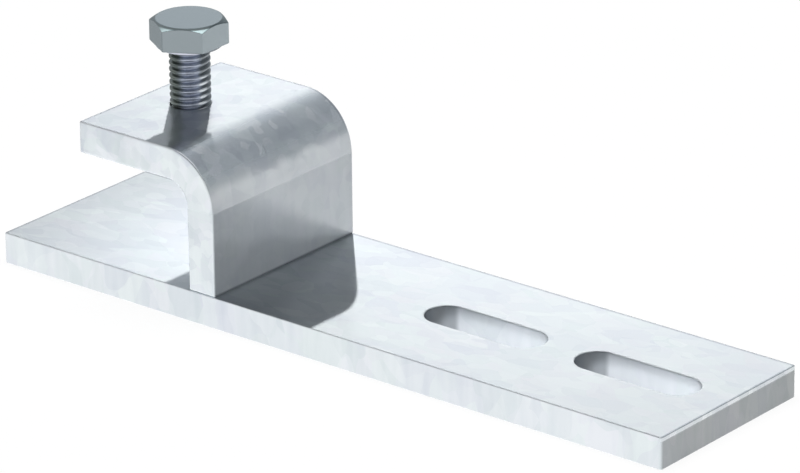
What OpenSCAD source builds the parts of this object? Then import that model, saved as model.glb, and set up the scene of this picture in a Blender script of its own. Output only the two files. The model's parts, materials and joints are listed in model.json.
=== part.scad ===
// Beam clamp bracket: a flat base plate with two slots, a bent jaw welded on top of it,
// and a hex screw through the jaw that presses a beam flange down onto the plate.
// X runs along the plate, the jaw opens towards -X, Z is up, and the underside is at z = 0.

/* [Base plate] */
// Length of the base plate
plate_length = 200; // [160:1:320]
// Width of the base plate, which the jaw shares
plate_width = 52; // [40:1:80]
// Thickness of the base plate
plate_thickness = 8; // [5:0.5:12]
// Width of the small flat that breaks every sawn or sheared edge
edge_break = 0.5; // [0.2:0.1:0.8]

/* [Slots] */
// Width of each slot
slot_width = 11; // [7:0.5:18]
// Length of each slot over its round ends
slot_length = 34; // [24:0.5:40]
// Distance between the centres of neighbouring slots
slot_pitch = 44.5; // [42:0.5:50]
// Distance from the plate's end to the centre of the last slot
slot_end_distance = 26; // [22:0.5:34]
// Width of the flat that breaks each slot's rim
slot_rim = 0.3; // [0.1:0.1:0.8]

/* [Jaw] */
// Thickness of the flat bar that the jaw is bent from
jaw_thickness = 8; // [5:0.5:12]
// Length of the jaw from its tip to its outer face
jaw_length = 42; // [36:0.5:60]
// Distance from the plate's end to the jaw's tip
jaw_setback = 26; // [10:0.5:34]
// Clear height of the throat between the plate and the jaw
throat_height = 27.2; // [16:0.1:40]
// Inner radius of the bend
bend_radius = 6; // [3:0.5:10]

/* [Weld] */
// Leg length of the fillet weld in the throat's inner corner
weld_leg = 4; // [2:0.5:6]
// Distance from each side of the plate to the end of the weld
weld_inset = 6; // [2:0.5:12]

/* [Clamp screw] */
// Outer diameter of the screw's thread
screw_diameter = 10; // [6:1:14]
// Length of the screw under its head
screw_length = 30; // [24:1:50]
// Distance from the jaw's tip to the screw's axis
screw_tip_distance = 13; // [11:0.5:16]
// Clear height between the jaw and the screw's head
screw_standoff = 15.3; // [1:0.1:20]
// Width of the hex head across its flats
head_across_flats = 17; // [16:0.5:22]
// Height of the head with its washer face
head_height = 6.6; // [4:0.1:10]
// Diameter of the flat circle on top of the head
head_crown_diameter = 16.1; // [14:0.1:17]
// Slope of the chamfer round the top of the head, in degrees
head_chamfer_angle = 30; // [15:1:40]
// Diameter of the washer face under the head
washer_face_diameter = 16; // [15:0.1:16]
// Height of the washer face
washer_face_height = 0.4; // [0.2:0.1:0.8]
// Turn of the head from its corners pointing along the plate, in degrees
head_turn = 30; // [0:1:60]
// Radius of the fillet between the shank and the head
head_fillet = 0.5; // [0.2:0.1:0.8]
// Chamfer at the free end of the screw
screw_tip_chamfer = 1; // [0.5:0.1:1.5]
// Radial clearance of the screw in the jaw's hole
screw_clearance = 0.08; // [0.04:0.01:0.1]
// Width of the flat that breaks each mouth of the jaw's hole
hole_rim = 0.2; // [0.1:0.1:0.6]

/* [Hidden] */
$fn = 96;

galvanised = [0.86, 0.89, 0.91];
weld_zinc = [0.78, 0.81, 0.83];
plated = [0.60, 0.65, 0.68];

// A cut runs this far past the faces that it opens
overcut = 1;

plate_end = plate_length / 2;
slot_count = 2;
slot_last = plate_end - slot_end_distance;

jaw_tip = jaw_setback - plate_end;
jaw_outer = jaw_tip + jaw_length;
jaw_inner = jaw_outer - jaw_thickness;
jaw_top = plate_thickness + throat_height + jaw_thickness;
bend_outer = bend_radius + jaw_thickness;
bend_x = jaw_outer - bend_outer;
bend_z = jaw_top - bend_outer;

weld_length = plate_width - 2 * weld_inset;
// The weld's bulging face is an arc about a point this far outside its corner
weld_arc_offset = weld_leg;
weld_arc_radius = norm([weld_leg + weld_arc_offset, weld_arc_offset]);

screw_x = jaw_tip + screw_tip_distance;
screw_seat = jaw_top + screw_standoff;
screw_radius = screw_diameter / 2;
head_corner_radius = head_across_flats / 2 / cos(30);
crown_radius = head_crown_diameter / 2;
chamfer_slope = tan(head_chamfer_angle);

// Corners of a rectangle centred on the origin, with each corner cut off at 45 degrees
function broken_rectangle(wide, high, cut) = [
    [-wide / 2 + cut, -high / 2],
    [wide / 2 - cut, -high / 2],
    [wide / 2, -high / 2 + cut],
    [wide / 2, high / 2 - cut],
    [wide / 2 - cut, high / 2],
    [-wide / 2 + cut, high / 2],
    [-wide / 2, high / 2 - cut],
    [-wide / 2, -high / 2 + cut]
];

// A centred block with all twelve edges broken: three extruded outlines that cross
module broken_block(long, wide, high) {
    intersection() {
        linear_extrude(high, center = true)
            polygon(broken_rectangle(long, wide, edge_break));
        rotate([90, 0, 0])
            linear_extrude(wide, center = true)
                polygon(broken_rectangle(long, high, edge_break));
        rotate([90, 0, 90])
            linear_extrude(long, center = true)
                polygon(broken_rectangle(wide, high, edge_break));
    }
}

// Half outline of a cut through a plate: straight in the middle, flared at 45 degrees
// at both faces, and carried past them. The cut's axis is x = 0.
function flared_half(half_width, depth, flare) = [
    [0, -overcut],
    [half_width + flare + overcut, -overcut],
    [half_width, flare],
    [half_width, depth - flare],
    [half_width + flare + overcut, depth + overcut],
    [0, depth + overcut]
];

// A round hole with the rims of both mouths broken
module flared_hole(radius, depth, flare) {
    rotate_extrude()
        polygon(flared_half(radius, depth, flare));
}

// A long slot along X with round ends and both rims broken
module slot_cut() {
    run = slot_length - slot_width;
    half = flared_half(slot_width / 2, plate_thickness, slot_rim);
    for (side = [-1, 1])
        translate([side * run / 2, 0, 0])
            flared_hole(slot_width / 2, plate_thickness, slot_rim);
    for (side = [0, 1])
        mirror([0, side, 0])
            rotate([90, 0, 90])
                linear_extrude(run, center = true)
                    polygon(half);
}

module base_plate() {
    color(galvanised)
        difference() {
            translate([0, 0, plate_thickness / 2])
                broken_block(plate_length, plate_width, plate_thickness);
            for (i = [0 : slot_count - 1])
                translate([slot_last - i * slot_pitch, 0, 0])
                    slot_cut();
        }
}

// Section of the flat bar, thickness along x and width along y
module bar_section() {
    polygon(broken_rectangle(jaw_thickness, plate_width, edge_break));
}

// The upright leg of the jaw, standing on the plate
module jaw_leg() {
    translate([(jaw_inner + jaw_outer) / 2, 0, plate_thickness])
        linear_extrude(bend_z - plate_thickness)
            bar_section();
}

// The quarter bend between the leg and the arm
module jaw_bend() {
    translate([bend_x, 0, bend_z])
        rotate([90, 0, 0])
            rotate_extrude(angle = 90)
                translate([bend_radius + jaw_thickness / 2, 0])
                    bar_section();
}

// The arm over the throat, with the edges of its tip broken too
module jaw_arm() {
    arm = bend_x - jaw_tip;
    spare = 2 * edge_break;
    intersection() {
        translate([jaw_tip + (arm + spare) / 2, 0, jaw_top - jaw_thickness / 2])
            broken_block(arm + spare, plate_width, jaw_thickness);
        translate([jaw_tip - overcut, -plate_width, jaw_top - jaw_thickness - overcut])
            cube([arm + overcut, 2 * plate_width, jaw_thickness + 2 * overcut]);
    }
}

module clamp_jaw() {
    color(galvanised)
        difference() {
            union() {
                jaw_leg();
                jaw_bend();
                jaw_arm();
            }
            translate([screw_x, 0, jaw_top - jaw_thickness])
                flared_hole(screw_radius + screw_clearance, jaw_thickness, hole_rim);
        }
}

// Section of the weld with its corner at the origin: two legs and a bulging face
module weld_section() {
    intersection() {
        square(weld_leg);
        translate([-weld_arc_offset, -weld_arc_offset])
            circle(weld_arc_radius);
    }
}

// The weld runs along the throat's inner corner, and its ends are turned about the corner
module weld_seam() {
    run = weld_length - 2 * weld_leg;
    color(weld_zinc)
        translate([jaw_inner, 0, plate_thickness])
            union() {
                rotate([90, 0, 0])
                    linear_extrude(run, center = true)
                        mirror([1, 0])
                            weld_section();
                translate([0, run / 2, 0])
                    rotate([0, 0, 90])
                        rotate_extrude(angle = 90)
                            weld_section();
                translate([0, -run / 2, 0])
                    rotate([0, 0, 180])
                        rotate_extrude(angle = 90)
                            weld_section();
            }
}

// Hex part of the head, its top corners cut by a cone down from the crown
module hex_head() {
    hex_height = head_height - washer_face_height;
    reach = head_corner_radius + overcut;
    drop = (reach - crown_radius) * chamfer_slope;
    translate([0, 0, washer_face_height])
        intersection() {
            rotate([0, 0, head_turn])
                cylinder(h = hex_height, r = head_corner_radius, $fn = 6);
            rotate_extrude()
                polygon([
                    [0, -overcut],
                    [reach, -overcut],
                    [reach, hex_height - drop],
                    [crown_radius, hex_height],
                    [0, hex_height]
                ]);
        }
}

// Shank and washer face in one turned outline, with a fillet under the head
module screw_shank() {
    rotate_extrude()
        difference() {
            union() {
                polygon([
                    [0, -screw_length],
                    [screw_radius - screw_tip_chamfer, -screw_length],
                    [screw_radius, screw_tip_chamfer - screw_length],
                    [screw_radius, 0],
                    [0, 0]
                ]);
                square([washer_face_diameter / 2, washer_face_height]);
                translate([0, -head_fillet])
                    square([screw_radius + head_fillet, head_fillet]);
            }
            translate([screw_radius + head_fillet, -head_fillet])
                circle(head_fillet);
        }
}

module clamp_screw() {
    color(plated)
        translate([screw_x, 0, screw_seat])
            union() {
                screw_shank();
                hex_head();
            }
}

base_plate();
clamp_jaw();
weld_seam();
clamp_screw();
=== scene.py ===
import json
import math
from collections import namedtuple

import bmesh
import bpy
import numpy as np
from mathutils import Matrix, Vector

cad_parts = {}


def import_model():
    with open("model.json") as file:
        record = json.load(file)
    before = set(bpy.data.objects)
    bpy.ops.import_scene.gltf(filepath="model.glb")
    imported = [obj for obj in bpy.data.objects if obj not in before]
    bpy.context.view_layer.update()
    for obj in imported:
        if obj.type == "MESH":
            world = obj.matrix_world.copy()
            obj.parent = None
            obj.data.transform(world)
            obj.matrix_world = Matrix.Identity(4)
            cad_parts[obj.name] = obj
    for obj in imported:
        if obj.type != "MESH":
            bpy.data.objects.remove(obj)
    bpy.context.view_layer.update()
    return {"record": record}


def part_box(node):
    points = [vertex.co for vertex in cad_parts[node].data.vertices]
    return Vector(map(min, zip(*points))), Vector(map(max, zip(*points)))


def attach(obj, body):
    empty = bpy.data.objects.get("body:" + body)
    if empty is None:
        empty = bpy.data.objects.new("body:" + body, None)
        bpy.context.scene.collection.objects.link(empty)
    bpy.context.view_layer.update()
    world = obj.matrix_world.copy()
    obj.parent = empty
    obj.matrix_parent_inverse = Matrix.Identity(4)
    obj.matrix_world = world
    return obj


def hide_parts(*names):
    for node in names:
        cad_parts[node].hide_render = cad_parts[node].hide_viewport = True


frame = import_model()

# Lengths are in metres, in the frame of the solid model: X along the plate, Z up.
MM = 0.001
# Points of a skin that are closer than this are one point
JOIN = 1e-7

# Sizes that the solid model gives
plate_low, plate_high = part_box("base_plate")
jaw_low, jaw_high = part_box("clamp_jaw")
weld_low, weld_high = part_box("weld_seam")
screw_low, screw_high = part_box("clamp_screw")
mounts = {mount["name"]: mount for mount in frame["record"]["mounts"]}
slot_sizes = mounts["slots"]["dims"]

# Galvanised bar: the plate, and the jaw that is bent from the same bar
BAR = plate_high.z - plate_low.z
HALF_WIDTH = plate_high.y
EDGE = 0.5 * MM
SIDE_EDGE = 0.3 * MM
END_EDGE = 0.25 * MM
FOOT_EDGE = 0.25 * MM
RIM = 0.4 * MM
SLOT_RADIUS = slot_sizes["hole_r_mm"] * MM
SLOT_RUN = slot_sizes["slot_length_mm"] * MM - 2 * SLOT_RADIUS
SLOT_PITCH = slot_sizes["spacing_x_mm"] * MM
SLOT_MIDDLE = mounts["slots"]["pos_m"][0]
BEND = 6 * MM
PRESS_SLOPE = 0.1
PRESS_REACH = 1.5 * MM
PRESS_LENGTH = 4 * MM
CREASE = 0.1 * MM
HOLE_RADIUS = 5.08 * MM
HOLE_RIM = 0.2 * MM

# Clamp screw
SCREW_X = mounts["screw_head"]["pos_m"][0]
FLATS = 17 * MM
HEAD_TOP = screw_high.z
HEAD = 6.8 * MM
CROWN = 8.05 * MM
CROWN_SLOPE = math.tan(math.radians(30))
WASHER_FACE = 8.1 * MM
WASHER_FACE_HEIGHT = 0.6 * MM
HEAD_TURN = math.radians(30)
HEAD_FILLET = 0.5 * MM
HEAD_CUTS = np.array((0.16, 0.14, 0.16, 0.03, 0.1)) * MM
THREAD_RADIUS = 5.06 * MM
THREAD_ROOT = 4.15 * MM
THREAD_PITCH = 1.66 * MM
THREAD_START = -0.3
THREAD_CREST = 0.36 * THREAD_PITCH
THREAD_FLOOR = 0.12 * THREAD_PITCH
THREAD_CUTS = np.array((0.08, 0.24, 0.24, 0.08)) * MM
TIP_RADIUS = 4 * MM

# Sizes of the zinc's patterns, in millimetres
CRYSTAL = 7.0
SMALL_CRYSTAL = 3.2
RAGGED_EDGE, RAGGED_REACH = 5.0, 4.0
GRAIN = 0.45
CLOUD = 14.0
SHEAR_BAND = 2.6
DIMPLE = 2.2

# Colours of the hot-dip zinc, and of the painted sheen, glints and shade on it
BLUE_ZINC = (0.745, 0.78, 0.86)
GREEN_ZINC = (0.735, 0.81, 0.82)
PALE_BLUE_ZINC = (0.93, 0.95, 0.99)
PALE_GREEN_ZINC = (0.91, 0.965, 0.97)
# Painted sheen and shade on the bend and the plate's end, painted glints, and painted shade on the
# leg, in the throat, along the far edges, in the slots and in lines at the jaw's foot and the
# slots' round ends
SHEEN_SHADE_ZINC = (0.66, 0.70, 0.74)
PAINTED_GLINT_ZINC = (0.93, 0.95, 0.97)
LEG_SHADE_ZINC = (0.50, 0.53, 0.56)
THROAT_SHADE_ZINC = (0.36, 0.38, 0.41)
BRINK_SHADE_ZINC = (0.40, 0.425, 0.475)
SLOT_SHADE_ZINC = (0.44, 0.465, 0.50)
SHADE_LINE_ZINC = (0.2, 0.22, 0.24)

# Colours of the screw's plating, and of the painted shade, highlights and reflection on it. A pair
# is what its film varies between.
# Painted shade at the shank's left as the view sees it, a painted highlight in its middle, painted
# shade at its right
LEFT_SHADE_GREEN = (0.14, 0.165, 0.16), (0.15, 0.17, 0.15)
MIDDLE_HIGHLIGHT_VIOLET = (0.44, 0.475, 0.57), (0.46, 0.50, 0.58)
RIGHT_SHADE_GREY = (0.24, 0.265, 0.29), (0.25, 0.27, 0.28)
HEAD_FILM = (0.345, 0.40, 0.42), (0.355, 0.405, 0.435)
# Painted reflection on the washer face, painted highlight on the lower crests, painted shade on the
# chamfer and painted highlights at two of its corners
WASHER_GLEAM = (0.74, 0.76, 0.86)
CREST_GLEAM = (0.92, 0.95, 0.98)
CHAMFER_SHADE = (0.09, 0.12, 0.125)
CORNER_GLEAM = (0.72, 0.90, 0.92)
# The screw's painted shade and highlight run along X turned by this angle, from the left of the
# view to its right
PAINTED_LIGHT_TURN = math.radians(39.23)

# An opening in a bar, a stretch of a bar, and what the painted light and shade go by at a point of
# a piece
Opening = namedtuple("Opening", "centre run radius profile")
Stretch = namedtuple("Stretch", "start end steps opening")
Spot = namedtuple("Spot", "x y z ahead across along side")


def soft_line(corners, cuts, steps=4):
    """A line through the corners, each of its inner corners made round.

    The round of corner P starts a cut's length before it, at A, and ends a cut's length
    after it, at B, along (1-t)^2 A + 2t(1-t) P + t^2 B. A point just outside A and one
    just outside B keep the straight stretches flat when the surface is shaded smooth.
    """
    corners = [np.asarray(corner, float) for corner in corners]
    line = [corners[0]]
    t = np.linspace(0, 1, steps + 1)
    for before, corner, after, cut in zip(corners, corners[1:], corners[2:], cuts):
        back = before - corner
        back = back / np.linalg.norm(back, axis=-1, keepdims=True)
        ahead = after - corner
        ahead = ahead / np.linalg.norm(ahead, axis=-1, keepdims=True)
        line.append(corner + back * cut * 1.2)
        for s in t:
            line.append(corner + (back * (1 - s) ** 2 + ahead * s**2) * cut)
        line.append(corner + ahead * cut * 1.2)
    line.append(corners[-1])
    return np.array(line)


class Skin:
    """Grid patches of one closed surface, joined wherever their points meet."""

    def __init__(self):
        self.points = []
        self.quads = []
        self.count = 0

    def patch(self, grid):
        """Adds a grid of points, rows by columns by 3, with a quad in each of its cells."""
        rows, columns = grid.shape[:2]
        index = self.count + np.arange(rows * columns).reshape(rows, columns)
        corners = (index[:-1, :-1], index[:-1, 1:], index[1:, 1:], index[1:, :-1])
        self.quads.append(np.stack(corners, -1).reshape(-1, 4))
        self.points.append(grid.reshape(-1, 3))
        self.count += rows * columns

    def piece(self, name, body, slot, node, material):
        """Makes the mesh, which stands for a node of the solid model and rides on a body."""
        mesh = bpy.data.meshes.new(name)
        mesh.from_pydata(np.concatenate(self.points), [], np.concatenate(self.quads))
        work = bmesh.new()
        work.from_mesh(mesh)
        bmesh.ops.remove_doubles(work, verts=work.verts, dist=JOIN)
        bmesh.ops.recalc_face_normals(work, faces=work.faces)
        work.to_mesh(mesh)
        work.free()
        mesh.shade_smooth()
        mesh.materials.append(material)
        piece = bpy.data.objects.new(name, mesh)
        bpy.context.scene.collection.objects.link(piece)
        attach(piece, body)
        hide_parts(node)
        return piece


def ring(spine, away, offset, depth, shape):
    """Skin along a closed outline: point j of the profile lies at spine + away * offset_j
    in the bar's plane, and depth_j under the bar's face."""
    plan = spine[None] + away[None] * offset[:, None, None]
    return shape(plan[..., 0], plan[..., 1], np.broadcast_to(depth[:, None], plan.shape[:2]))


def round_opening(stretch, opening, rows, side_steps=7):
    """Points of an opening's spine, the directions away from it, and the points where they
    meet the edge of its stretch of bar, all once round from the lower right corner.

    A point of the edge is spine + direction * reach, where reach is the shorter of the ways
    to the stretch's end and to the bar's side.
    """
    right = opening.centre + opening.run / 2
    left = opening.centre - opening.run / 2
    quarter = math.pi / 2
    at_right = np.arctan2(rows, stretch.end - right)
    at_left = math.pi - np.arctan2(rows[::-1], left - stretch.start)
    angles = (
        at_right,
        np.linspace(at_right[-1], quarter, side_steps)[1:],
        np.linspace(quarter, at_left[0], side_steps)[:-1],
        at_left,
        np.linspace(at_left[-1], 3 * quarter, side_steps)[1:],
        np.linspace(3 * quarter, 4 * quarter + at_right[0], side_steps),
    )
    ends = (right, right, left, left, left, right)
    spine_x = np.concatenate([np.full(len(a), end) for a, end in zip(angles, ends)])
    angle = np.concatenate(angles)
    away = np.stack((np.cos(angle), np.sin(angle)), -1)
    spine = np.stack((spine_x, np.zeros_like(angle)), -1)
    to_end = np.where(away[:, 0] > 0, stretch.end - right, left - stretch.start)
    reach = np.minimum(
        to_end / np.maximum(abs(away[:, 0]), 1e-9), rows[-1] / np.maximum(abs(away[:, 1]), 1e-9)
    )
    return spine, away, spine + away * reach[:, None]


def flat_bar(stretches, thickness, edges, shape):
    """Skin of a flat bar with round edges and openings, as it is before it is bent.

    The bar is a row of stretches, each plain or with one opening. edges are the cuts of its
    start, its sides and its end; shape puts a point of the flat bar in place. Rows along the
    bar lie at f tan(t atan(h / f)) from its middle, closest together where the openings are.
    """
    skin = Skin()
    corner = 1.3 * EDGE
    half = HALF_WIDTH - corner
    focus = 11 * MM
    rows = np.tan(np.linspace(-1, 1, 15) * math.atan(half / focus)) * focus
    side = []
    first, last = stretches[0], stretches[-1]
    for stretch in stretches:
        inner = stretch._replace(
            start=stretch.start + (corner if stretch is first else 0),
            end=stretch.end - (corner if stretch is last else 0),
        )
        if stretch.opening is None:
            x = np.linspace(inner.start, inner.end, inner.steps + 1)
            side.append(x)
            plan = np.stack(np.meshgrid(x, rows, indexing="ij"), -1)
            for depth in (0, thickness):
                skin.patch(shape(plan[..., 0], plan[..., 1], np.full(plan.shape[:2], depth)))
            continue
        spine, away, edge = round_opening(inner, stretch.opening, rows)
        on_side = edge[edge[:, 1] > half - JOIN, 0]
        side.append(np.unique(np.round(on_side / JOIN)) * JOIN)
        offset, depth = stretch.opening.profile.T
        skin.patch(ring(spine, away, stretch.opening.radius + offset, depth, shape))
        rim = spine + away * (stretch.opening.radius + offset[0])
        plan = np.stack((rim, edge))
        for level in (0, thickness):
            skin.patch(shape(plan[..., 0], plan[..., 1], np.full(plan.shape[:2], level)))
    skin.patch(bar_edge(np.concatenate(side), rows, half, corner, thickness, edges, shape))
    return skin


def bar_edge(side, rows, half, corner, thickness, edges, shape):
    """The bar's edge all round: straight ends and sides with a quarter turn at each corner.

    The edge's profile runs from the face over its round edge, down and back under the
    other face. Its cut blends from the sides' to the end's with the direction away.
    """
    turn = np.linspace(0, math.pi / 2, 5)
    low, high = side.min(), side.max()
    runs = (
        (np.full(len(rows), high), rows, np.zeros(len(rows))),
        (np.full(len(turn), high), np.full(len(turn), half), turn),
        (side[::-1], np.full(len(side), half), np.full(len(side), turn[-1])),
        (np.full(len(turn), low), np.full(len(turn), half), turn + math.pi / 2),
        (np.full(len(rows), low), rows[::-1], np.full(len(rows), math.pi)),
        (np.full(len(turn), low), np.full(len(turn), -half), turn + math.pi),
        (side, np.full(len(side), -half), np.full(len(side), 1.5 * math.pi)),
        (np.full(len(turn), high), np.full(len(turn), -half), turn + 1.5 * math.pi),
    )
    x, y, angle = (np.concatenate(parts) for parts in zip(*runs))
    away = np.stack((np.cos(angle), np.sin(angle)), -1)
    at_start, at_side, at_end = edges
    along = np.where(away[:, 0] > 0, at_end, at_start)
    cut = at_side + (along - at_side) * away[:, 0] ** 2
    cut = cut[:, None]
    flat = np.zeros_like(cut)
    corners = [
        np.concatenate((flat + corner, flat), -1),
        np.concatenate((flat, flat), -1),
        np.concatenate((flat, flat + thickness), -1),
        np.concatenate((flat + corner, flat + thickness), -1),
    ]
    profile = soft_line(corners, [cut, cut])
    offset = corner - profile[..., 0]
    plan = np.stack((x, y), -1)[None] + away[None] * offset[..., None]
    return shape(plan[..., 0], plan[..., 1], profile[..., 1])


def slot_profile(rim, thickness):
    """Wall of an opening, as distance into the bar and depth, with round rims of a given cut."""
    return soft_line([(2 * rim, 0), (0, 0), (0, thickness), (2 * rim, thickness)], [rim, rim])


def flared_profile(flare, thickness):
    """Wall of an opening, as distance into the bar and depth, flared at 45 degrees at both ends."""
    corners = [
        (2 * flare, 0),
        (flare, 0),
        (0, flare),
        (0, thickness - flare),
        (flare, thickness),
        (2 * flare, thickness),
    ]
    return soft_line(corners, [flare / 5] * 4, 2)


def base_plate(material):
    """The flat bar with its two slots: x and y as they are, z = top - depth."""
    top = plate_high.z

    def flat(x, y, depth):
        return np.stack((x, y, top - depth), -1)

    wall = slot_profile(RIM, BAR)
    slots = [
        Opening(SLOT_MIDDLE + side * SLOT_PITCH / 2, SLOT_RUN, SLOT_RADIUS, wall)
        for side in (-1, 1)
    ]
    margin = SLOT_MIDDLE - slots[0].centre
    stretches = [
        Stretch(plate_low.x, slots[0].centre - margin, 12, None),
        Stretch(slots[0].centre - margin, SLOT_MIDDLE, 0, slots[0]),
        Stretch(SLOT_MIDDLE, plate_high.x, 0, slots[1]),
    ]
    skin = flat_bar(stretches, BAR, (EDGE, SIDE_EDGE, END_EDGE), flat)
    return skin.piece("base_plate_bar", "bracket", "galvanised_plate", "base_plate", material)


def clamp_jaw(material):
    """The jaw, laid out flat from its tip and bent once.

    Along the arm z = top - depth. In the bend the outer face has radius R and a point turns
    by angle a = way / R about the bend's centre: x = centre + (R - depth) sin a and
    z = centre + (R - depth) cos a. Down the leg x = outer face - depth. Where the bend ends,
    the press has marked the outer face: at a way s before the leg it is p s exp(-s / r) deep.
    """
    outer = BEND + BAR
    centre = Vector((jaw_high.x - outer, 0, jaw_high.z - outer))
    arm = centre.x - jaw_low.x
    turn = outer * math.pi / 2
    leg = centre.z - jaw_low.z

    def bent(way, y, depth):
        angle = np.clip((way - arm) / outer, 0, math.pi / 2)
        before = np.minimum(way - arm, 0)
        beyond = np.maximum(way - arm - turn, 0)
        ahead = np.maximum(arm + turn - way, 0)
        mark = PRESS_SLOPE * ahead * np.exp(-ahead / PRESS_REACH)
        depth = depth + mark * (1 - depth / BAR)
        x = centre.x + before + (outer - depth) * np.sin(angle)
        z = centre.z - beyond + (outer - depth) * np.cos(angle)
        return np.stack((x, y, z), -1)

    way_to_hole = SCREW_X - jaw_low.x
    hole = Opening(way_to_hole, 0, HOLE_RADIUS, flared_profile(HOLE_RIM, BAR))
    bend_end = arm + turn
    stretches = [
        Stretch(0, 2 * way_to_hole, 0, hole),
        Stretch(2 * way_to_hole, arm, 1, None),
        Stretch(arm, bend_end - PRESS_LENGTH, 32, None),
        Stretch(bend_end - PRESS_LENGTH, bend_end - CREASE, 13, None),
        Stretch(bend_end - CREASE, bend_end + CREASE, 4, None),
        Stretch(bend_end + CREASE, bend_end + leg, 8, None),
    ]
    skin = flat_bar(stretches, BAR, (EDGE, EDGE, FOOT_EDGE), bent)
    return skin.piece("clamp_jaw_bar", "bracket", "galvanised_jaw", "clamp_jaw", material)


def weld_seam(material):
    """Fillet weld: a fan of points round the inner corner, carried along Y.

    At angle a from the plate the bead's face is at c + sqrt(c^2 - m^2 + R^2), the distance
    from the corner to an arc of radius R about a point m outside it, with c its share along
    the direction. Ripples add r |sin(pi (y + lag sin 2a) / pitch)|, two slow waves along Y
    make the bead uneven, and the ends close as quarter circles.
    """
    leg = weld_high.z - weld_low.z
    reach = weld_high.y
    radius = math.hypot(2 * leg, leg)
    ripple, pitch, lag = 0.22 * MM, 1.7 * MM, 1.1 * MM
    y = np.linspace(-reach, reach, 421)[:, None]
    angle = np.linspace(0, math.pi / 2, 25)[None]
    share = -leg * (np.cos(angle) + np.sin(angle))
    face = share + np.sqrt(share**2 - 2 * leg**2 + radius**2)
    swell = np.sin(2 * angle)
    uneven = 0.05 * np.sin(y * 0.41 / MM + 1) + 0.03 * np.sin(y * 0.93 / MM)
    crescents = ripple * (abs(np.sin(math.pi * (y + lag * swell) / pitch)) - 1)
    to_end = np.clip((abs(y) - (reach - leg)) / leg, 0, 1)
    size = np.sqrt(1 - to_end**2)
    spread = (face * (1 - abs(uneven)) + crescents * swell**0.5) * size
    x = weld_high.x - spread * np.cos(angle)
    z = weld_low.z + spread * np.sin(angle)
    bead = np.stack((x, np.broadcast_to(y, x.shape), z), -1)
    root = np.stack((np.full_like(y, weld_high.x), y, np.full_like(y, weld_low.z)), -1)
    skin = Skin()
    skin.patch(np.concatenate((root, bead, root), 1))
    return skin.piece("weld_bead", "bracket", "galvanised_weld", "weld_seam", material)


def columns():
    """Angles round the screw, closest together at the head's six corners."""
    half = math.pi / 6
    within = half * np.sin(np.linspace(-1, 1, 19) * math.pi / 2)
    sides = HEAD_TURN + half + np.arange(6)[:, None] * 2 * half
    angle = (sides + within[None, :-1]).ravel()
    return np.append(angle, angle[0] + 2 * math.pi)


def lathe(line, angle):
    """Turns a line of (radius, height) about the screw's axis. The radius may vary with angle."""
    radius = np.broadcast_to(line[..., 0], (len(line), len(angle)))
    height = np.broadcast_to(line[..., 1], radius.shape)
    return np.stack((SCREW_X + radius * np.cos(angle), radius * np.sin(angle), height), -1)


def hexagon(angle, power=130):
    """Distance from the axis to a hexagon with slightly round corners, at each angle.

    It is the half width over the flats, over the p-norm of the cosines of the angles to the
    three pairs of flats.
    """
    flats = HEAD_TURN + math.pi / 6 + np.arange(3)[:, None] * math.pi / 3
    spread = (abs(np.cos(angle[None] - flats)) ** power).sum(0) ** (1 / power)
    return FLATS / 2 / spread


def screw_head(angle):
    """The hex head with its crown, the cone that cuts its corners, and its washer face.

    The cone falls from the crown at 30 degrees, so its height at the hexagon's distance h
    is top - (h - crown) tan 30, which draws the arcs on the flats.
    """
    seat = HEAD_TOP - HEAD
    under = seat + WASHER_FACE_HEIGHT
    flat = np.zeros_like(angle)
    across = hexagon(angle)
    corners = [
        (flat, flat + HEAD_TOP),
        (flat + CROWN, flat + HEAD_TOP),
        (across, HEAD_TOP - (across - CROWN) * CROWN_SLOPE),
        (across, flat + under),
        (flat + WASHER_FACE, flat + under),
        (flat + WASHER_FACE, flat + seat),
        (flat + THREAD_RADIUS + HEAD_FILLET, flat + seat),
    ]
    line = soft_line([np.stack(corner, -1) for corner in corners], HEAD_CUTS, 3)
    return lathe(line, angle)


def threaded_shank(angle):
    """A right-hand thread whose rows climb with it.

    Row (turn n, phase p) is at height tip + (n + s + p + angle / 2 pi) pitch, with s the turn
    where the thread starts, and with the radius of the thread's own profile at p, so that
    crests and roots run along rows. A cone limits the radius at the tip, the fillet widens it
    at the head, and rows past the ends close up.
    """
    tip = screw_low.z
    seat = HEAD_TOP - HEAD
    top, foot = THREAD_CREST / 2, (THREAD_PITCH - THREAD_FLOOR) / 2
    ridge = [
        (THREAD_ROOT, -THREAD_PITCH / 2),
        (THREAD_ROOT, -foot),
        (THREAD_RADIUS, -top),
        (THREAD_RADIUS, top),
        (THREAD_ROOT, foot),
        (THREAD_ROOT, THREAD_PITCH / 2),
    ]
    profile = soft_line(ridge, THREAD_CUTS, 4)[:-1]
    turns = np.arange(-2, math.ceil((seat - tip) / THREAD_PITCH) + 2)
    rise = ((turns[:, None] + THREAD_START) * THREAD_PITCH + profile[None, :, 1]).ravel()
    radius = np.tile(profile[:, 0], len(turns))
    winding = (angle - angle[0]) / (2 * math.pi) * THREAD_PITCH
    height = np.clip(tip + rise[:, None] + winding[None], tip, seat)
    radius = np.minimum(radius[:, None], TIP_RADIUS + height - tip)
    into = np.clip(height - (seat - HEAD_FILLET), 0, HEAD_FILLET)
    fillet = THREAD_ROOT + (THREAD_RADIUS - THREAD_ROOT + HEAD_FILLET) * (
        1 - np.sqrt(1 - (into / HEAD_FILLET) ** 2)
    )
    radius = np.where(into > 0, np.maximum(radius, fillet), radius)
    return lathe(np.stack((radius, height), -1), angle)


def clamp_screw(material):
    """The hex screw, one skin from the crown of its head to its tip."""
    angle = columns()
    skin = Skin()
    skin.patch(screw_head(angle))
    skin.patch(threaded_shank(angle))
    tip = np.array(((TIP_RADIUS, screw_low.z), (0, screw_low.z)))
    skin.patch(lathe(tip[:, None], angle))
    return skin.piece("hex_clamp_screw", "screw", "zinc_plated_screw", "clamp_screw", material)


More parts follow.
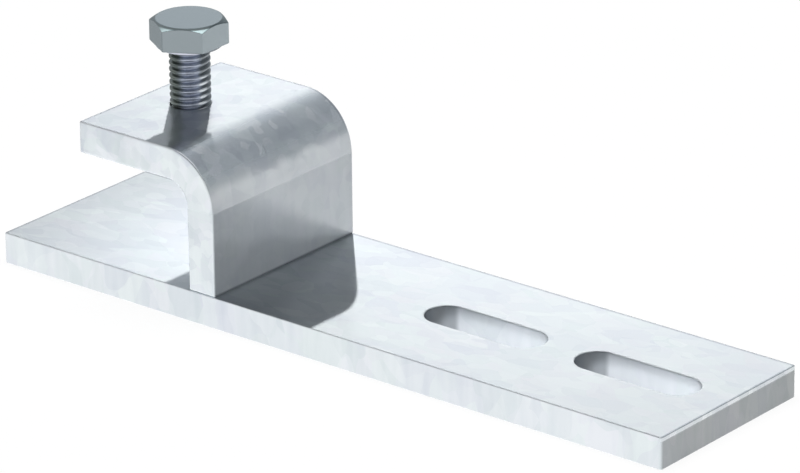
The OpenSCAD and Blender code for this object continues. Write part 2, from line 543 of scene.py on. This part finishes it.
class Value:
    """An output socket in arithmetic: each operation adds a Math node."""

    def __init__(self, finish, socket):
        self.finish = finish
        self.socket = socket

    def output(self, name):
        return Value(self.finish, self.socket.node.outputs[name])

    def math(self, operation, *terms):
        return self.finish.add("ShaderNodeMath", {"operation": operation}, dict(enumerate(terms)))

    def __add__(self, other):
        return self.math("ADD", self, other)

    def __sub__(self, other):
        return self.math("SUBTRACT", self, other)

    def __rsub__(self, other):
        return self.math("SUBTRACT", other, self)

    def __mul__(self, other):
        return self.math("MULTIPLY", self, other)

    def __truediv__(self, other):
        return self.math("DIVIDE", self, other)

    def __rtruediv__(self, other):
        return self.math("DIVIDE", other, self)

    def direction(self, x):
        """Angle in radians of the direction whose y is this value."""
        return self.math("ARCTAN2", self, x)

    __radd__ = __add__
    __rmul__ = __mul__


class Finish:
    """The nodes of a material or a world."""

    def __init__(self, owner):
        self.owner = owner
        owner.use_nodes = True
        self.tree = owner.node_tree
        self.tree.nodes.clear()

    def add(self, kind, settings, inputs, output=0):
        """Adds a node: its settings first, then the values or links of its sockets."""
        node = self.tree.nodes.new(kind)
        for name, setting in settings.items():
            setattr(node, name, setting)
        for name, value in inputs.items():
            if isinstance(value, Value):
                self.tree.links.new(value.socket, node.inputs[name])
            elif isinstance(value, tuple) and node.inputs[name].type == "RGBA":
                node.inputs[name].default_value = (*value, 1)
            else:
                node.inputs[name].default_value = value
        return Value(self, node.outputs[output]) if len(node.outputs) else None

    def place(self, shift=(0, 0, 0), stretch=(1, 1, 1)):
        """The point on the piece in millimetres, shifted and stretched."""
        return self.add(
            "ShaderNodeMapping",
            {"vector_type": "POINT"},
            {
                "Vector": self.add("ShaderNodeTexCoord", {}, {}, "Object"),
                "Location": shift,
                "Scale": tuple(s / MM for s in stretch),
            },
        )

    def vector(self, operation, *terms, output=0):
        return self.add(
            "ShaderNodeVectorMath", {"operation": operation}, dict(enumerate(terms)), output
        )

    def scaled(self, vector, factor):
        return self.add(
            "ShaderNodeVectorMath", {"operation": "SCALE"}, {"Vector": vector, "Scale": factor}
        )

    def between(self, value, low, high):
        """0 below low, 1 above high, and smooth between them."""
        inputs = {0: value, 1: low, 2: high}
        return self.add("ShaderNodeMapRange", {"interpolation_type": "SMOOTHSTEP"}, inputs)

    def parts(self, vector):
        """A vector's shares along X, Y and Z."""
        parts = self.add("ShaderNodeSeparateXYZ", {}, {0: vector})
        return parts, parts.output("Y"), parts.output("Z")

    def noise(self, place, size, detail=2.0, roughness=0.5):
        """Noise with features of about size millimetres."""
        return self.add(
            "ShaderNodeTexNoise",
            {},
            {"Vector": place, "Scale": 1 / size, "Detail": detail, "Roughness": roughness},
        )

    def cells(self, place, size):
        """Crystals of about size millimetres, each with its own random colour channels."""
        inputs = {"Vector": place, "Scale": 1 / size}
        return self.add("ShaderNodeTexVoronoi", {"feature": "F1"}, inputs, "Color")

    def split(self, colour):
        """A colour's three channels."""
        parts = self.add("ShaderNodeSeparateColor", {}, {0: colour})
        return parts, parts.output("Green"), parts.output("Blue")

    def mixed(self, factor, first, second):
        """Colour between first and second."""
        inputs = {0: factor, 6: first, 7: second}
        return self.add("ShaderNodeMix", {"data_type": "RGBA"}, inputs, 2)

    def bump(self, height, strength, distance, normal=None):
        inputs = {"Height": height, "Strength": strength, "Distance": distance}
        if normal is not None:
            inputs["Normal"] = normal
        return self.add("ShaderNodeBump", {}, inputs)

    def coat(self, colour, metallic, roughness, normal):
        """The material, with a metal's surface."""
        inputs = {
            "Base Color": colour,
            "Metallic": metallic,
            "Roughness": roughness,
            "Normal": normal,
        }
        return self.surface(self.add("ShaderNodeBsdfPrincipled", {}, inputs))

    def surface(self, shader):
        self.add("ShaderNodeOutputMaterial", {}, {"Surface": shader})
        return self.owner


def galvanised(name, start, shift, painted_light=None, stretch=(1, 1, 1), dull=0.0):
    """Hot-dip zinc: crystals of two sizes, each with its own tint, gloss and lean.

    Upright faces also carry bands from the shears, and painted shade darkens the flat faces along
    the far side and the bar's start. start is where the bar starts, shift and stretch place the
    crystals, and dull adds to the roughness. The piece's own painted light comes from a
    function: where painted sheen and shade go, how metallic the zinc is, and its layers of painted
    shade.
    """
    finish = Finish(bpy.data.materials.new(name))
    place = finish.place(shift, stretch)
    ragged = finish.noise(place, RAGGED_EDGE, 1.0, 0.4).output("Color")
    ragged = finish.vector("SUBTRACT", ragged, (0.5, 0.5, 0.5))
    bent = finish.vector("ADD", place, finish.scaled(ragged, RAGGED_REACH))
    large = finish.cells(bent, CRYSTAL)
    small = finish.cells(finish.vector("ADD", bent, (7.0, 3.0, 11.0)), SMALL_CRYSTAL)
    tone, tint, gloss = finish.split(large)
    small_tone, small_tint, small_gloss = finish.split(small)
    grain = finish.noise(place, GRAIN, 3.0, 0.6)
    cloud = finish.noise(place, CLOUD, 3.0)
    upright = finish.add("ShaderNodeNewGeometry", {}, {}, "Normal")
    ahead, aside, up = finish.parts(upright)
    side = 1.0 - finish.between(up * up, 0.1, 0.5)
    bands = finish.noise(finish.place(shift, (1, 1, 0.12)), SHEAR_BAND, 2.0, 0.5) - 0.5
    shade = tone * 0.45 + small_tone * 0.45 + cloud * 0.35 + grain * 0.1 + bands * side - 0.07
    cool = finish.mixed(tint, BLUE_ZINC, GREEN_ZINC)
    pale = finish.mixed(small_tint, PALE_BLUE_ZINC, PALE_GREEN_ZINC)
    colour = finish.mixed(shade, cool, pale)
    metallic, layers = 0.2 + side * 0.1, []
    x, y, z = finish.parts(finish.place())
    if painted_light is not None:
        spot = Spot(x, y, z, ahead, ahead * ahead, aside * aside, side)
        painted_sheen_shade, metallic, layers = painted_light(finish, spot)
        # Painted sheen and shade: more metallic, and mixed toward a darker zinc, where the piece's
        # painted light puts them
        metallic = painted_sheen_shade * 0.52 + metallic
        cover = painted_sheen_shade * (0.75 - tone * 0.55 - small_tone * 0.3)
        colour = finish.mixed(cover, colour, SHEEN_SHADE_ZINC)
        # Painted glints: bright small crystals within the painted sheen and shade
        painted_glint = painted_sheen_shade * finish.between(small_gloss, 0.84, 0.9)
        colour = finish.mixed(painted_glint * 0.6, colour, PAINTED_GLINT_ZINC)
    far, near = HALF_WIDTH / MM, start / MM
    # Painted shade on the flat faces along the far side and the bar's start
    far_side = finish.between(y, far - 1.2, far - 0.5)
    near_start = 1.0 - finish.between(x, near + 0.5, near + 1.2)
    painted_brink_shade = far_side.math("MAXIMUM", far_side, near_start) * (1.0 - side)
    for cover, layer in [(painted_brink_shade * 0.65, BRINK_SHADE_ZINC), *layers]:
        colour = finish.mixed(cover, colour, layer)
    roughness = 0.17 + dull + gloss * 0.04 + small_gloss * 0.03 + grain * 0.03
    lean = finish.vector("SUBTRACT", large, (0.5, 0.5, 0.5))
    small_lean = finish.vector("SUBTRACT", small, (0.5, 0.5, 0.5))
    lean = finish.vector("ADD", finish.scaled(lean, 0.05), finish.scaled(small_lean, 0.04))
    normal = finish.vector("NORMALIZE", finish.vector("ADD", upright, lean))
    relief = grain * 0.3 + finish.noise(place, DIMPLE, 2.0)
    normal = finish.bump(relief, 0.25, 0.05 * MM, normal)
    return finish.coat(colour, metallic, roughness, normal)


def plate_painted_light(finish, spot):
    """The plate's painted light: painted sheen along the upper edge of its end, and painted
    shade in its slots, most of all in the round ends that face away from the jaw."""
    end, top, wall = plate_high.x / MM, plate_high.z / MM, SLOT_RADIUS / MM
    first = (SLOT_MIDDLE - (SLOT_PITCH + SLOT_RUN) / 2 - SLOT_RADIUS) / MM
    # Painted sheen along the upper edge of the plate's end
    painted_sheen_shade = finish.between(spot.x, end - 0.7, end - 0.4)
    painted_sheen_shade = painted_sheen_shade * finish.between(spot.z, top - 1.2, top - 0.9)
    # Painted shade in the slots, darker still in the round ends that face away from the jaw
    off_middle = spot.y.math("ABSOLUTE", spot.y)
    slot_shade = spot.side * (1.0 - finish.between(off_middle, wall + 0.2, wall + 0.7))
    slot_shade = slot_shade * finish.between(spot.x, first - 7.5, first - 4.5)
    slot_shade = slot_shade * (1.0 - finish.between(spot.x, end - 2, end - 1))
    slot_end_shade = slot_shade * finish.between(spot.ahead, 0.08, 0.4)
    metallic = 0.2 + spot.side * 0.1 - slot_shade * 0.2
    layers = [(slot_shade * 0.45 + slot_end_shade * 0.4, SLOT_SHADE_ZINC), (slot_end_shade * 0.5, SHADE_LINE_ZINC)]
    return painted_sheen_shade, metallic, layers


def jaw_painted_light(finish, spot):
    """The jaw's painted light, most of it by the angle about its bend's axis, from 0 at the leg to
    a quarter turn at the arm.

    Painted sheen and shade cover the bend, with a step where the leg ends, and fade out toward
    the arm and the sides. The leg's faces carry painted shade, with a painted shade line along
    its foot where it meets the plate, and its face in the throat carries painted shade.
    """
    axis_x, axis_z = (jaw_high.x - BEND - BAR) / MM, (jaw_high.z - BEND - BAR) / MM
    low, throat = jaw_low.z / MM, jaw_low.x / MM + 10
    angle = (spot.z - axis_z).direction(spot.x - axis_x)
    # Painted sheen and shade: a step where the leg ends, more from about 16 to 45 degrees round the
    # bend, none on the arm or on faces that face along Y
    bend_and_arm = finish.between(angle, -0.004, 0.004)
    painted_sheen_shade = bend_and_arm * 0.4 + finish.between(angle, 0.28, 0.78) * 0.6
    painted_sheen_shade = painted_sheen_shade * (1.0 - finish.between(angle, 1.22, 1.5))
    painted_sheen_shade = painted_sheen_shade * (1.0 - finish.between(spot.along, 0.1, 0.5))
    metallic = 0.08 + bend_and_arm * 0.14 + finish.between(angle, 0.3, 0.6) * 0.08
    endways = finish.between(spot.across, 0.2, 0.6)
    # Painted shade on the leg's faces that face along X, fading out up the bend
    painted_leg_shade = (1.0 - finish.between(angle, 0.1, 0.6)) * endways
    # Painted shade on the jaw's faces that face the throat
    inner = 1.0 - finish.between(spot.ahead, -0.7, -0.3)
    inner = inner * finish.between(spot.x, throat, throat + 8)
    # Painted shade line along the leg's foot, where it meets the plate
    foot = (1.0 - finish.between(spot.z, low + 0.2, low + 0.8)) * endways
    layers = [(painted_leg_shade * 0.6, LEG_SHADE_ZINC), (inner * 0.7, THROAT_SHADE_ZINC), (foot * 0.8, SHADE_LINE_ZINC)]
    return painted_sheen_shade, metallic, layers


def zinc_plated(name):
    """Electro-plated zinc on the screw: blue passivation with faint tints, on forged steel.

    From left to right as the view sees it, the shank carries painted shade in green, a painted
    highlight in violet and painted shade in grey. The washer face carries a painted reflection,
    the lower crests a painted highlight, and the head's chamfer painted shade but for two of its
    corners, which carry painted highlights.
    """
    finish = Finish(bpy.data.materials.new(name))
    place = finish.place()
    film = finish.noise(place, 3.0, 2.0)
    grain = finish.noise(place, 0.3, 3.0, 0.6)
    forged = finish.noise(place, 1.4, 3.0)
    seat = (HEAD_TOP - HEAD) / MM
    under = seat + WASHER_FACE_HEIGHT / MM
    flat, crest = FLATS / 2 / MM, THREAD_RADIUS / MM
    axis = (-SCREW_X / MM, 0, 0)
    x, y, z = finish.parts(finish.place(axis))
    radius = finish.vector("LENGTH", finish.place(axis, (1, 1, 0)), output=1)
    toward = x * math.sin(PAINTED_LIGHT_TURN) - y * math.cos(PAINTED_LIGHT_TURN)
    across = x * math.cos(PAINTED_LIGHT_TURN) + y * math.sin(PAINTED_LIGHT_TURN) + (film - 0.5) * 2.0
    # left and right: where the painted shade goes at the shank's left and right as the view sees
    # it; between them the painted highlight
    left = 1.0 - finish.between(across, -3.4, -1.0)
    right = finish.between(across, 1.6, 3.4)
    # Painted reflection on the washer face, but for its right
    washer = finish.between(z, seat - 0.05, seat + 0.05) * (1.0 - right)
    # Painted highlight on the lower crests, right of the middle as the view sees it
    gleam = finish.between(radius, crest - 0.31, crest - 0.11)
    gleam = gleam * (1.0 - finish.between(z, seat - 8.3, seat - 5.3))
    gleam = gleam * finish.between(across, 2.0, 2.8) * (1.0 - finish.between(across, 3.5, 4.4))
    head = finish.between(z, under - 0.05, under + 0.05)
    up = finish.parts(finish.add("ShaderNodeNewGeometry", {}, {}, "Normal"))[2]
    # Painted shade on the head's chamfer, with painted highlights at its two corners toward the
    # view
    chamfer = finish.between(up, 0.3, 0.6) * (1.0 - finish.between(up, 0.92, 0.98)) * head
    cut = chamfer * finish.between(radius, flat + 0.05, flat + 0.4)
    cut = cut * finish.between(toward, 4, 9)
    colour = finish.mixed(left, finish.mixed(film, *MIDDLE_HIGHLIGHT_VIOLET), finish.mixed(film, *LEFT_SHADE_GREEN))
    layers = (
        (right, finish.mixed(film, *RIGHT_SHADE_GREY)),
        (washer, WASHER_GLEAM),
        (gleam * 0.8, CREST_GLEAM),
        (head, finish.mixed(film, *HEAD_FILM)),
        (chamfer * 0.75, CHAMFER_SHADE),
        (cut, CORNER_GLEAM),
    )
    for cover, layer in layers:
        colour = finish.mixed(cover, colour, layer)
    metallic = 0.75 - head * 0.05 + cut * 0.25
    roughness = 0.19 + grain * 0.05 + film * 0.06
    normal = finish.bump(grain * 0.1 + forged, 0.12, 0.03 * MM)
    return finish.coat(colour, metallic, roughness, normal)


# Camera: its place in metres, its picture in pixels and its sensor in millimetres
IMAGE_WIDTH = 800
SENSOR = 36.0
FOCAL_PIXELS = 5586.9
CAMERA = Vector((0.77637, -0.94608, 0.52236))
CAMERA_AZIMUTH = math.radians(39.234)
CAMERA_DROP = math.radians(22.181)
CAMERA_ROLL = math.radians(-0.583)

# Lamps: where they are or come from, how strong they are, and how wide
KEY_PLACE = (-0.380, 0.423, 0.355)
KEY_AIM = (0.33, -0.19, 0.008)
KEY_POWER = 42.5
KEY_CONE = math.radians(53.5)
KEY_SIZE = 0.006
FILL_FROM = (0.0, -1.0, -0.65)
FILL_STRENGTH = 3.05
FILL_COLOUR = (0.965, 0.985, 1.0)
FILL_ANGLE = math.radians(20)
SIDE_FROM = (1.0, 0.0, 0.1)
SIDE_STRENGTH = 0.65
GLEAM_FROM = (0.584, 0.72, -0.375)
GLEAM_STRENGTH = 1.2
GLEAM_ANGLE = math.radians(10)
FRONT_FROM = (0.42, -1.0, 0.35)
FRONT_STRENGTH = 0.6
FRONT_ANGLE = math.radians(55)
FLOOR_LIGHT_ANGLE = math.radians(60)
AMBIENT = (0.012, 0.015, 0.018)

# Floor, tent, canopy and card. Spans and rises are in degrees about the bracket.
WHITE = (1.0, 1.0, 1.0)
FLOOR_REACH = 4.0
FLOOR_BOUNCE = 0.06
FLOOR_SHADOW = 0.12
TENT_RADIUS = 1.6
TENT_SPAN, TENT_RISE = (5, 165), (0, 57)
TENT_LEFT = math.radians(97.4), math.radians(123.2)
TENT_FADE = 0.28
TENT_DARK = (0.335, 0.36, 0.385)
TENT_PALE = (0.61, 0.65, 0.685)
CANOPY_SPAN, CANOPY_RISE = (225, 350), (12, 68)
CANOPY = (0.2, 0.22, 0.24)
CARD_X, CARD_Y, CARD_HEIGHT = (-1.2, -0.125), (-0.6, 0.8), 0.001
CARD = (0.6, 0.63, 0.64)


def camera():
    """Camera that looks along the azimuth and down by the drop, rolled about its axis."""
    lens = bpy.data.cameras.new("camera")
    lens.sensor_width = SENSOR
    lens.lens = FOCAL_PIXELS / IMAGE_WIDTH * SENSOR
    lens.clip_start = 0.1
    lens.clip_end = 50
    viewer = bpy.data.objects.new("camera", lens)
    bpy.context.scene.collection.objects.link(viewer)
    turned = Matrix.Rotation(CAMERA_AZIMUTH, 4, "Z")
    tipped = Matrix.Rotation(math.pi / 2 - CAMERA_DROP, 4, "X")
    rolled = Matrix.Rotation(CAMERA_ROLL, 4, "Z")
    viewer.matrix_world = Matrix.Translation(CAMERA) @ turned @ tipped @ rolled
    bpy.context.scene.camera = viewer


def lamp(name, kind, settings, place=(0, 0, 0), toward=(0, 0, 0)):
    """Lamp at a place that shines toward a point."""
    light = bpy.data.lights.new(name, kind)
    for key, setting in settings.items():
        setattr(light, key, setting)
    holder = bpy.data.objects.new(name, light)
    holder.location = place
    holder.rotation_euler = (Vector(toward) - Vector(place)).to_track_quat("-Z", "Y").to_euler()
    bpy.context.scene.collection.objects.link(holder)
    return holder


def sun(name, source, strength, angle, colour=WHITE):
    """Lamp whose light comes from one direction, and is softer the wider its angle is."""
    settings = {"energy": strength, "angle": angle, "color": colour}
    return lamp(name, "SUN", settings, source)


def only_lights(holder, targets, included):
    """Limits a lamp to the targets, or leaves the targets out of its light."""
    group = bpy.data.collections.new(holder.name + "_receivers")
    for target in targets:
        group.objects.link(target)
    holder.light_linking.receiver_collection = group
    if not included:
        for member in group.collection_objects:
            member.light_linking.link_state = "EXCLUDE"


def white_to_viewer(finish, shown, other):
    """shown where the camera, a reflection or glass looks, other for the light that it sends."""
    path = finish.add("ShaderNodeLightPath", {}, {}, "Is Camera Ray")
    seen = path + path.output("Is Glossy Ray") + path.output("Is Transmission Ray")
    return finish.add("ShaderNodeMixShader", {}, {0: seen, 1: other, 2: shown})


def world():
    """White to look at, and a faint cool light from all round."""
    finish = Finish(bpy.data.worlds.new("studio"))
    white = finish.add("ShaderNodeBackground", {}, {"Color": WHITE, "Strength": 1.0})
    ambient = finish.add("ShaderNodeBackground", {}, {"Color": AMBIENT, "Strength": 1.0})
    finish.add("ShaderNodeOutputWorld", {}, {0: white_to_viewer(finish, white, ambient)})
    bpy.context.scene.world = finish.owner


def sheet_of(name, grid, material):
    """A surface of the studio from a grid of points."""
    rows, columns = grid.shape[:2]
    index = np.arange(rows * columns).reshape(rows, columns)
    quads = np.stack((index[:-1, :-1], index[:-1, 1:], index[1:, 1:], index[1:, :-1]), -1)
    mesh = bpy.data.meshes.new(name)
    mesh.from_pydata(grid.reshape(-1, 3), [], quads.reshape(-1, 4))
    mesh.materials.append(material)
    sheet = bpy.data.objects.new(name, mesh)
    bpy.context.scene.collection.objects.link(sheet)
    return sheet


def floor():
    """White floor that keeps a soft shadow of the bracket and sends little light back."""
    finish = Finish(bpy.data.materials.new("white_floor"))
    glow = finish.add("ShaderNodeEmission", {}, {"Color": WHITE, "Strength": 1 - FLOOR_SHADOW})
    paint = finish.add("ShaderNodeBsdfDiffuse", {}, {"Color": (FLOOR_SHADOW,) * 3})
    bright = finish.add("ShaderNodeAddShader", {}, {0: glow, 1: paint})
    dim = finish.add("ShaderNodeBsdfDiffuse", {}, {"Color": (FLOOR_BOUNCE,) * 3})
    material = finish.surface(white_to_viewer(finish, bright, dim))
    reach = (-FLOOR_REACH, FLOOR_REACH)
    ground = sheet_of("floor", level_sheet(reach, reach, 0.0), material)
    ground.visible_shadow = False
    return ground


def level_sheet(x, y, z):
    """Grid of a rectangle at a height, between two values of x and two of y."""
    x, y = np.meshgrid(np.array(x), np.array(y), indexing="ij")
    return np.stack((x, y, np.full_like(x, z)), -1)


def only_reflected(sheet):
    """Hides a surface of the studio from all but reflections."""
    sheet.visible_camera = False
    sheet.visible_diffuse = False
    sheet.visible_transmission = False
    sheet.visible_shadow = False


def card():
    """Grey card that lies left of the bracket, which only its reflections see."""
    finish = Finish(bpy.data.materials.new("grey_card"))
    paper = finish.add("ShaderNodeEmission", {}, {"Color": CARD, "Strength": 1.0})
    grid = level_sheet(CARD_X, CARD_Y, CARD_HEIGHT)
    only_reflected(sheet_of("card", grid, finish.surface(paper)))


def dome(name, span, rise, material):
    """Part of a ball round the bracket, which only its reflections see.

    x, y and z are the radius times cos e cos a, cos e sin a and sin e.
    """
    azimuth = np.radians(np.linspace(*span, 33))[:, None]
    rise = np.radians(np.linspace(*rise, 13))[None]
    x = np.cos(rise) * np.cos(azimuth)
    y = np.cos(rise) * np.sin(azimuth)
    z = np.sin(rise) * np.ones_like(azimuth)
    only_reflected(sheet_of(name, np.stack((x, y, z), -1) * TENT_RADIUS, material))


def tent():
    """Grey tent behind the bracket, from a white horizon up to grey, and at its left from a
    dark horizon up to a paler grey. A dark canopy hangs over the camera.
    """
    finish = Finish(bpy.data.materials.new("grey_tent"))
    x, y, z = finish.parts(finish.add("ShaderNodeTexCoord", {}, {}, "Object"))
    turned = finish.between(y.direction(x), *TENT_LEFT)
    above = finish.between(z / TENT_RADIUS, 0.0, TENT_FADE)
    horizon = finish.mixed(turned, WHITE, CANOPY)
    grey = finish.mixed(above, horizon, finish.mixed(turned, TENT_DARK, TENT_PALE))
    cloth = finish.add("ShaderNodeEmission", {}, {"Color": grey, "Strength": 1.0})
    dome("tent", TENT_SPAN, TENT_RISE, finish.surface(cloth))
    finish = Finish(bpy.data.materials.new("dark_canopy"))
    cloth = finish.add("ShaderNodeEmission", {}, {"Color": CANOPY, "Strength": 1.0})
    dome("canopy", CANOPY_SPAN, CANOPY_RISE, finish.surface(cloth))


def studio(jaw, screw):
    """Camera, white ground, grey tent and card, and the lamps.

    The side lamp and the gleam are only for the jaw and the screw, and the front lamp is only
    for the screw, which the fill leaves out. The ground has a lamp of its own overhead.
    """
    bpy.context.scene.view_settings.view_transform = "Standard"
    camera()
    world()
    ground = floor()
    tent()
    card()
    beam = {
        "energy": KEY_POWER,
        "shadow_soft_size": KEY_SIZE,
        "spot_size": KEY_CONE,
        "spot_blend": 1.0,
    }
    key = lamp("key", "SPOT", beam, KEY_PLACE, KEY_AIM)
    fill = sun("fill", FILL_FROM, FILL_STRENGTH, FILL_ANGLE, FILL_COLOUR)
    side = sun("side", SIDE_FROM, SIDE_STRENGTH, FILL_ANGLE, FILL_COLOUR)
    gleam = sun("gleam_of_the_floor", GLEAM_FROM, GLEAM_STRENGTH, GLEAM_ANGLE)
    front = sun("front", FRONT_FROM, FRONT_STRENGTH, FRONT_ANGLE)
    overhead = sun("floor_light", (0, 0, 1), math.pi, FLOOR_LIGHT_ANGLE)
    for holder in (key, fill, side, gleam):
        holder.visible_glossy = False
    only_lights(overhead, [ground], True)
    only_lights(side, [jaw, screw], True)
    only_lights(gleam, [jaw, screw], True)
    only_lights(front, [screw], True)
    only_lights(key, [ground], False)
    only_lights(fill, [ground, screw], False)


base_plate(galvanised("galvanised_plate", plate_low.x, (0, 0, 0), plate_painted_light, (0.6, 1, 0.35)))
jaw = clamp_jaw(galvanised("galvanised_jaw", jaw_low.x, (40, 25, 13), jaw_painted_light))
weld_seam(galvanised("galvanised_weld", weld_low.x, (-30, 5, 21), dull=0.12))
screw = clamp_screw(zinc_plated("zinc_plated_screw"))
studio(jaw, screw)
